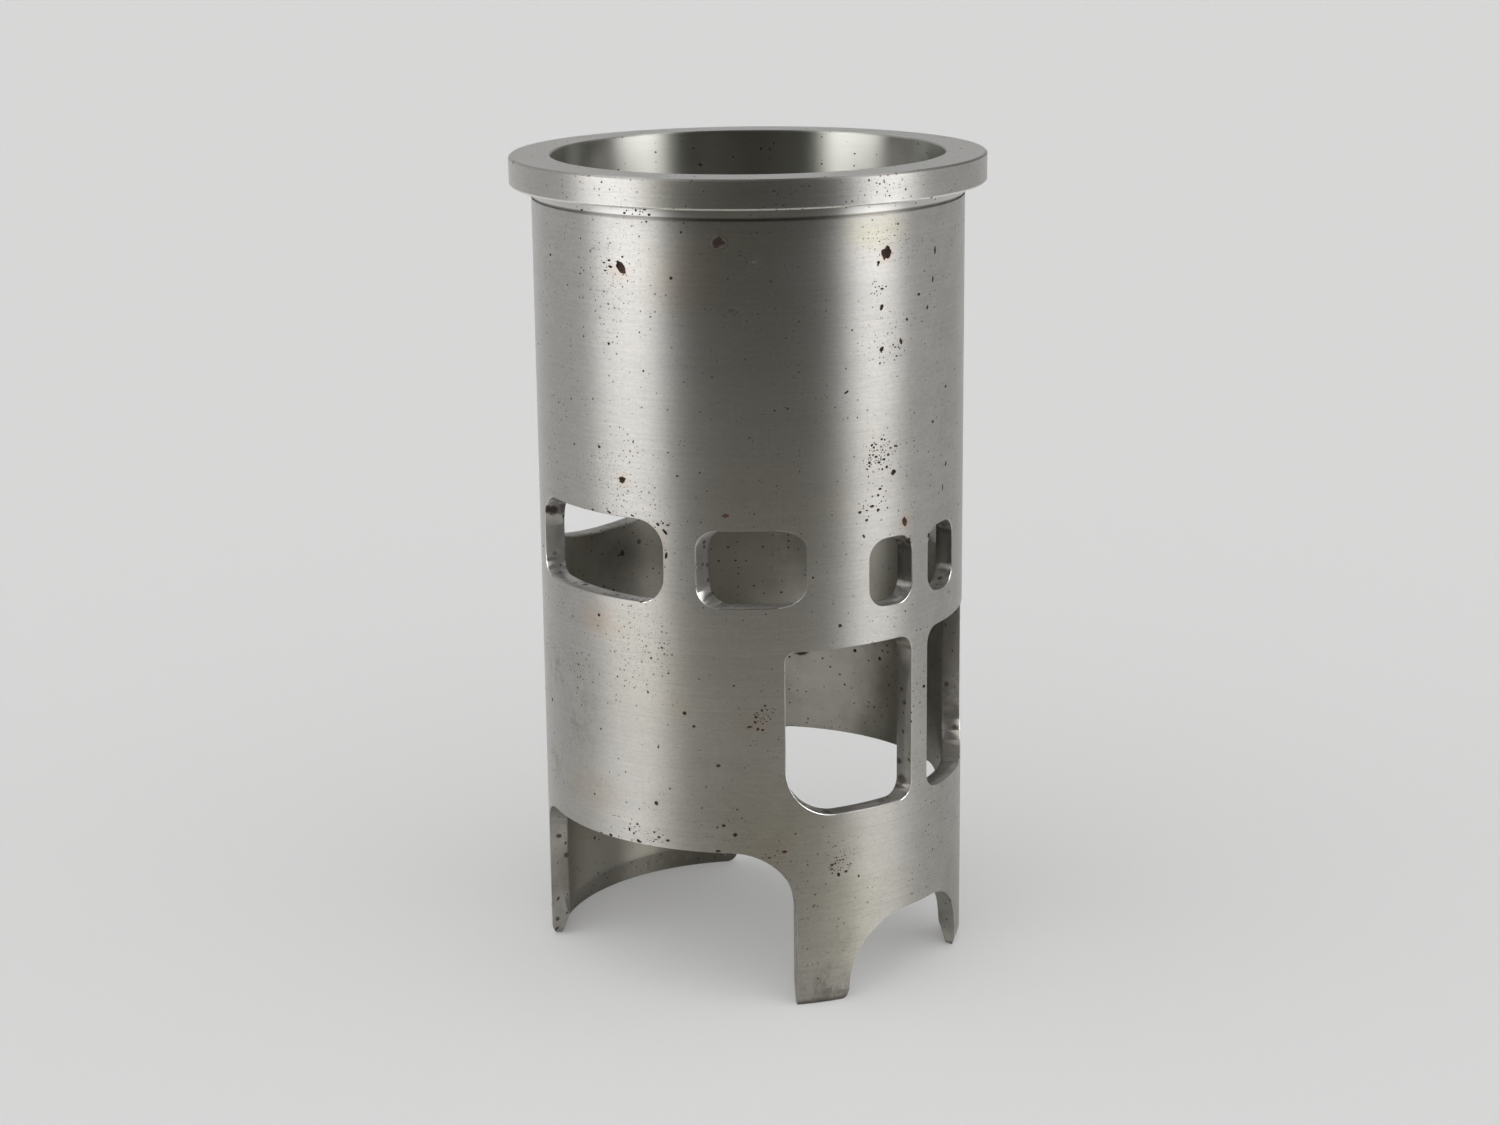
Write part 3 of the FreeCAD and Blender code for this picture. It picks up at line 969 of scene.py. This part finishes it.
def pitTree(material):
    look = rustPits
    tree = bpy.data.node_groups.new("rustPits", "GeometryNodeTree")
    numbers = ("Reach", "Patchiness", "Spacing", "Density", "Smallest", "Largest", "Depth", "Ragged")
    kinds = {"Geometry": "Geometry", "Centre": "Vector", **dict.fromkeys(numbers, "Float"), "Seed": "Int"}
    for name, kind in kinds.items():
        tree.interface.new_socket(name=name, in_out="INPUT", socket_type="NodeSocket" + kind)
    tree.interface.new_socket(name="Geometry", in_out="OUTPUT", socket_type="NodeSocketGeometry")
    group = tree.nodes.new("NodeGroupInput")
    given = {name: Field(tree, group.outputs[name]) for name in kinds}
    position = Field(tree, tree.nodes.new("GeometryNodeInputPosition").outputs[0])
    normal = Field(tree, tree.nodes.new("GeometryNodeInputNormal").outputs[0])
    radial = stretched(position, 1.0, 0.0)
    radial = radial.vector("NORMALIZE", radial)
    facing = normal.math("ABSOLUTE", normal.vector("DOT_PRODUCT", normal, radial, output=1))
    away = position.vector("DISTANCE", position, given["Centre"], output=1)
    near = given["Reach"] * look["overshoot"] + look["margin"] > away
    scatter = {
        "Mesh": given["Geometry"], "Selection": near * (facing > look["upright"]), "Distance Min": given["Spacing"],
        "Density Max": given["Density"], "Seed": given["Seed"],
    }
    settings = {"distribute_method": "POISSON"}
    points = position.node("GeometryNodeDistributePointsOnFaces", settings, scatter, "Points")
    rotation = Field(tree, points.socket.node.outputs["Rotation"])
    patch = smoothStep(pattern(position, look["patches"]), *look["patchRange"])
    inGroup = 1 - smoothStep(away / given["Reach"], *look["fadeRange"])
    kept = (1 - given["Patchiness"] * (1 - patch)) * inGroup
    random = "FunctionNodeRandomValue"
    chance = position.node(random, {"data_type": "FLOAT"}, {"Seed": given["Seed"] + 1}, 1)
    drop = chance > kept
    points = points.node("GeometryNodeDeleteGeometry", {"domain": "POINT"}, {"Geometry": points, "Selection": drop})
    share = position.node(random, {"data_type": "FLOAT"}, {"Seed": given["Seed"] + 2}, 1)
    size = given["Smallest"] + (given["Largest"] - given["Smallest"]) * share * share * share
    stored = {"Geometry": points, "Name": "pitSize", "Value": size}
    points = points.node("GeometryNodeStoreNamedAttribute", {"data_type": "FLOAT", "domain": "POINT"}, stored)
    shortest, longest = look["lengths"]
    between = {2: shortest, 3: longest, "Seed": given["Seed"] + 3}
    stretch = position.node(random, {"data_type": "FLOAT"}, between, 1)
    scale = position.node("ShaderNodeCombineXYZ", {}, {0: size * stretch, 1: size, 2: size * given["Depth"]})
    blob = position.node("GeometryNodeMeshIcoSphere", {}, {"Radius": 1.0, "Subdivisions": look["subdivisions"]})
    placed = {"Points": points, "Instance": blob, "Rotation": rotation, "Scale": scale}
    blobs = points.node("GeometryNodeInstanceOnPoints", {}, placed)
    blobs = blobs.node("GeometryNodeRealizeInstances", {}, {"Geometry": blobs})
    named = position.node("GeometryNodeInputNamedAttribute", {"data_type": "FLOAT"}, {"Name": "pitSize"})
    sockets = {"Vector": position, "Scale": look["grain"], "Detail": 1.0}
    wander = position.node("ShaderNodeTexNoise", {}, sockets, 1)
    wander = dimmed(wander.vector("SUBTRACT", wander, (0.5, 0.5, 0.5)), named * given["Ragged"])
    blobs = blobs.node("GeometryNodeSetPosition", {}, {"Geometry": blobs, "Offset": wander})
    blobs = blobs.node("GeometryNodeSetMaterial", {}, {"Geometry": blobs, "Material": material})
    result = tree.nodes.new("NodeGroupOutput")
    tree.links.new(blobs.socket, result.inputs["Geometry"])
    return tree


def runPits(tree, shellMesh, values):
    # one run of the tree on a copy of the shell, turned to a plain mesh
    carrier = newObject("pitCarrier", shellMesh.copy())
    modifier = carrier.modifiers.new("rustPits", "NODES")
    modifier.node_group = tree
    identifiers = {item.name: item.identifier for item in tree.interface.items_tree if item.in_out == "INPUT"}
    for name, value in values.items():
        modifier[identifiers[name]] = value
    mesh = evaluatedMesh(carrier)
    bpy.data.objects.remove(carrier)
    return mesh


def wallPoint(bearing, height, radius):
    angle = math.radians(bearing)
    return Vector((radius * math.sin(angle), -radius * math.cos(angle), height))


# How the outline of a main pit wanders: a coarse and a fine noise, and how far into each a pit's place moves it
mainPitShape = {
    "subdivisions": 3,
    "ragged": 0.34,
    "coarse": 1.7,
    "coarseShift": 9000,
    "fine": 4.0,
    "fineShift": 7000,
    "fineShare": 0.5,
}


def addMainPit(bm, entry):
    look = mainPitShape
    bearing, height, length, breadth, lean, depth, wall = entry
    outward = wallPoint(bearing, 0, 1.0)
    around = Vector((-outward.y, outward.x, 0))
    up = Vector((0, 0, 1))
    tilt = math.radians(lean)
    along = around * math.cos(tilt) + up * math.sin(tilt)
    across = up * math.cos(tilt) - around * math.sin(tilt)
    centre = wallPoint(bearing, inMetres(height), turned[wall])
    made = bmesh.ops.create_icosphere(bm, subdivisions=look["subdivisions"], radius=1.0)["verts"]
    for v in made:
        where = v.co.copy()
        coarse = blobNoise.noise(where * look["coarse"] + centre * look["coarseShift"])
        fine = blobNoise.noise(where * look["fine"] - centre * look["fineShift"])
        swell = 1 + look["ragged"] * (coarse + look["fineShare"] * fine)
        flat = along * where.x * length / 2 + across * where.y * breadth / 2 + outward * where.z * depth
        v.co = centre + inMetres(flat * swell)


def apart(bm):
    # keeps the larger of any two blobs that overlap, so that each cut is clean
    islands = []
    seen = set()
    for start in bm.verts:
        if start in seen:
            continue
        island, stack = [], [start]
        seen.add(start)
        while stack:
            v = stack.pop()
            island.append(v)
            for edge in v.link_edges:
                other = edge.other_vert(v)
                if other not in seen:
                    seen.add(other)
                    stack.append(other)
        centre = sum((v.co for v in island), Vector()) / len(island)
        islands.append((max((v.co - centre).length for v in island), centre, island))
    islands.sort(key=lambda item: -item[0])
    kept, dropped = [], []
    for reach, centre, island in islands:
        if any((centre - other).length < (reach + otherReach) * rustPits["apart"] for otherReach, other in kept):
            dropped.extend(island)
        else:
            kept.append((reach, centre))
    bmesh.ops.delete(bm, geom=dropped, context="VERTS")
    return len(kept)


def pitBlobs(shellMesh, slots):
    look = rustPits
    tree = pitTree(bpy.data.materials["pitRust"])
    runs = [{
        "Centre": (0.0, 0.0, 0.0), "Reach": look["everywhere"], "Patchiness": look["patchiness"],
        "Spacing": look["spacing"], "Density": look["density"], "Smallest": look["smallest"],
        "Largest": look["largest"], "Seed": look["seed"],
    }]
    for number, (bearing, height, reach, density) in enumerate(pitGroups):
        level = inMetres(height)
        wall, largest = ("flange", "flangeLargest") if level > turned["seat"] else ("body", "largest")
        runs.append({
            "Centre": wallPoint(bearing, level, turned[wall]), "Reach": inMetres(reach), "Patchiness": 0.0,
            "Spacing": groupPits["spacing"], "Density": density * groupPits["packing"] * 1e6,
            "Smallest": groupPits["smallest"], "Largest": groupPits[largest], "Seed": number + groupPits["firstSeed"],
        })
    bm = bmesh.new()
    for entry in mainPits:
        addMainPit(bm, entry)
    for values in runs:
        mesh = runPits(tree, shellMesh, {"Depth": look["depth"], "Ragged": look["ragged"], **values})
        bm.from_mesh(mesh)
        bpy.data.meshes.remove(mesh)
    count = apart(bm)
    for face in bm.faces:
        face.material_index = slots["pitRust"]
    bmesh.ops.recalc_face_normals(bm, faces=bm.faces)
    mesh = bpy.data.meshes.new("pitBlobs")
    bm.to_mesh(mesh)
    bm.free()
    print("Pits placed:", count)
    return mesh


def cutPits(piece, materials, slots):
    blobs = newObject("pitBlobs", pitBlobs(piece.data, slots))
    for material in materials:
        blobs.data.materials.append(material)
    cut = piece.modifiers.new("pits", "BOOLEAN")
    cut.operation = "DIFFERENCE"
    cut.solver = "MANIFOLD"
    cut.object = blobs
    piece.data = evaluatedMesh(piece)
    bpy.data.objects.remove(blobs)
    bm = bmesh.new()
    bm.from_mesh(piece.data)
    print("Pits cut:", len(bm.faces), "faces,", sum(len(edge.link_faces) != 2 for edge in bm.edges), "open edges")
    bm.free()


def setNormals(piece, slots):
    # turned and faced walls get the normal of their true surface, and the rest are smooth below an angle
    mesh = piece.data
    mesh.polygons.foreach_set("use_smooth", [True] * len(mesh.polygons))
    mesh.set_sharp_from_angle(angle=math.radians(linerShell["smoothAngle"]))
    normals = readAll(mesh.corner_normals, "vector", 3)
    vertexOf = readAll(mesh.loops, "vertex_index", kind=np.int32)
    faceOf = np.repeat(np.arange(len(mesh.polygons)), readAll(mesh.polygons, "loop_total", kind=np.int32))
    index = readAll(mesh.polygons, "material_index", kind=np.int32)
    outward, up = faceFrames(mesh)[1::2]
    onTurned = ((index != slots["milledIron"]) & (index != slots["pitRust"]))[faceOf]
    place = readAll(mesh.vertices, "co", 3)[vertexOf][:, :2]
    radial = place / np.linalg.norm(place, axis=1, keepdims=True)
    exact = np.stack([radial[:, 0] * outward[faceOf], radial[:, 1] * outward[faceOf], up[faceOf]], 1)
    normals[onTurned] = exact[onTurned]
    normals /= np.linalg.norm(normals, axis=1, keepdims=True)
    mesh.normals_split_custom_set(normals)
    mesh.update()


materials = [makeTurnedIron(), makeFacedIron(), makeHonedIron(), makeMilledIron(), makePitRust()]
finishSlots = {material.name: index for index, material in enumerate(materials)}
print("Materials made:", ", ".join(finishSlots))
shell = refinedShell()
for material in materials:
    shell.data.materials.append(material)
print("Shell refined:", len(shell.data.vertices), "points", len(shell.data.polygons), "faces")
setFinishes(shell, finishSlots)
cutPits(shell, materials, finishSlots)
setNormals(shell, finishSlots)
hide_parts(nodeName)
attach(shell, "root")
print("Liner finished:", len(shell.data.loops) - 2 * len(shell.data.polygons), "triangles")


# Studio: a pale sheet under the liner, and a room that is dark in front, pale behind, with a soft panel each side.
# Azimuths are measured round the liner from the camera's side, positive to the right, in degrees.
studio = {
    "cameraBearing": -49.9,
    "sheetColour": (0.572, 0.572, 0.568),
    "sheetGlow": 0.133,
    "sheetSize": 16.0,
    "sheetDrop": 5e-5,
    "sheetBehind": (0.715, 0.715, 0.71),
    "sheetEnd": 0.34,
    "sheetFade": 0.16,
    "sheetMirror": (0.565, 0.552, 0.49),
    "fill": 0.96,
    "fillFront": 0.8,
    "background": 0.705,
    "dark": (0.033, 0.031, 0.026),
    "behindLeft": 0.46,
    "behindRight": 0.21,
    "behindFrom": 90.0,
    "behindTo": 125.0,
    "behindMeet": 148.0,
    "behindMeetTo": 172.0,
}

panels = [
    {"azimuth": -68.5, "halfWidth": 20.0, "edge": 9.0, "level": 5.2, "top": 60.0},
    {"azimuth": 70.2, "halfWidth": 15.7, "edge": 9.0, "level": 5.6, "top": 60.0},
]
panelFade = 20.0  # degrees below its top over which a panel ends


def bearingVector(bearing):
    angle = math.radians(bearing)
    return Vector((math.sin(angle), -math.cos(angle), 0))


def addSheet():
    look = studio
    material, tree, point = newMaterial("paleSheet")
    toCamera = bearingVector(look["cameraBearing"])
    front = point.vector("DOT_PRODUCT", point, toCamera, output=1)
    path = tree.nodes.new("ShaderNodeLightPath")
    glossy = Field(tree, path.outputs["Is Glossy Ray"])
    away = point.vector("LENGTH", point, output=1)
    ended = smoothStep(away, look["sheetEnd"] - look["sheetFade"], look["sheetEnd"] + look["sheetFade"])
    inFront = smoothStep(front, -look["sheetFade"], look["sheetFade"]) * glossy
    base = mixColour(glossy, look["sheetColour"], look["sheetBehind"])
    base = mixColour(inFront, base, look["sheetMirror"])
    base = mixColour(ended * inFront, base, look["dark"])
    seen = Field(tree, path.outputs["Is Camera Ray"])
    glow = {"Base Color": base, "Emission Color": toGrey(seen * look["sheetGlow"])}
    principled(tree, glow, {"Roughness": 0.9, "Specular IOR Level": 0.2, "Emission Strength": 1.0})
    half = look["sheetSize"] / 2
    corners = [(-half, -half), (half, -half), (half, half), (-half, half)]
    mesh = bpy.data.meshes.new("paleSheet")
    mesh.from_pydata([(x, y, -look["sheetDrop"]) for x, y in corners], [], [(0, 1, 2, 3)])
    mesh.materials.append(material)
    newObject("paleSheet", mesh)


def addRoom():
    look = studio
    world = bpy.data.worlds.new("room")
    bpy.context.scene.world = world
    world.use_nodes = True
    world.cycles.sampling_method = "NONE"
    tree = world.node_tree
    tree.nodes.clear()
    direction = Field(tree, tree.nodes.new("ShaderNodeTexCoord").outputs["Generated"])
    toCamera = bearingVector(look["cameraBearing"])
    toRight = Vector((-toCamera.y, toCamera.x, 0))
    front = direction.vector("DOT_PRODUCT", direction, toCamera, output=1)
    right = direction.vector("DOT_PRODUCT", direction, toRight, output=1)
    azimuth = direction.math("ARCTAN2", right, front) * math.degrees(1)
    elevation = direction.math("ARCSINE", part(direction, "Z")) * math.degrees(1)
    rightBehind = smoothStep(azimuth, look["behindFrom"], look["behindTo"])
    leftBehind = smoothStep(0 - azimuth, look["behindFrom"], look["behindTo"])
    meeting = smoothStep(azimuth, look["behindMeet"], look["behindMeetTo"])
    level = leftBehind * look["behindLeft"] + rightBehind * look["behindRight"]
    level = level + meeting * (look["behindLeft"] - look["behindRight"])
    for panel in panels:
        offset = direction.math("ABSOLUTE", azimuth - panel["azimuth"])
        inner, outer = panel["halfWidth"] - panel["edge"], panel["halfWidth"] + panel["edge"]
        below = 1 - smoothStep(elevation, panel["top"] - panelFade, panel["top"])
        level = level + (1 - smoothStep(offset, inner, outer)) * below * panel["level"]
    path = tree.nodes.new("ShaderNodeLightPath")
    camera = Field(tree, path.outputs["Is Camera Ray"])
    diffuse = Field(tree, path.outputs["Is Diffuse Ray"])
    room = direction.vector("ADD", toGrey(level), look["dark"])
    room = mixColour(diffuse, room, toGrey(look["fill"] + front * look["fillFront"]))
    room = mixColour(camera, room, (look["background"],) * 3)
    back = direction.node("ShaderNodeBackground", {}, {"Color": room, "Strength": 1.0})
    output = tree.nodes.new("ShaderNodeOutputWorld")
    tree.links.new(back.socket, output.inputs["Surface"])


# Camera: where the photograph was taken from, as distances from the foot's centre
cameraView = {
    "distance": 0.63170,
    "height": 0.25020,
    "aside": -0.0007,
    "turn": 0.025,
    "tilt": 14.415,
    "roll": -0.593,
    "lens": 69.425,
    "sensor": 36.0,
    "clipStart": 0.01,
}


def addCamera():
    view = cameraView
    away = -bearingVector(studio["cameraBearing"])
    right = Vector((away.y, -away.x, 0))
    up = Vector((0, 0, 1))
    turn, tilt, roll = (math.radians(view[name]) for name in ("turn", "tilt", "roll"))
    level = right * math.sin(turn) + away * math.cos(turn)
    sight = level * math.cos(tilt) - up * math.sin(tilt)
    side = right * math.cos(turn) - away * math.sin(turn)
    top = side.cross(sight)
    rolledSide = side * math.cos(roll) + top * math.sin(roll)
    rolledTop = top * math.cos(roll) - side * math.sin(roll)
    turning = Matrix((rolledSide, rolledTop, -sight)).transposed().to_4x4()
    data = bpy.data.cameras.new("photoCamera")
    data.sensor_width = view["sensor"]
    data.lens = view["lens"]
    data.clip_start = view["clipStart"]
    camera = newObject("photoCamera", data)
    place = -away * view["distance"] + right * view["aside"] + up * view["height"]
    camera.matrix_world = Matrix.Translation(place) @ turning
    bpy.context.scene.camera = camera


addSheet()
addRoom()
addCamera()
bpy.context.scene.view_settings.view_transform = "Standard"
print("Studio set")
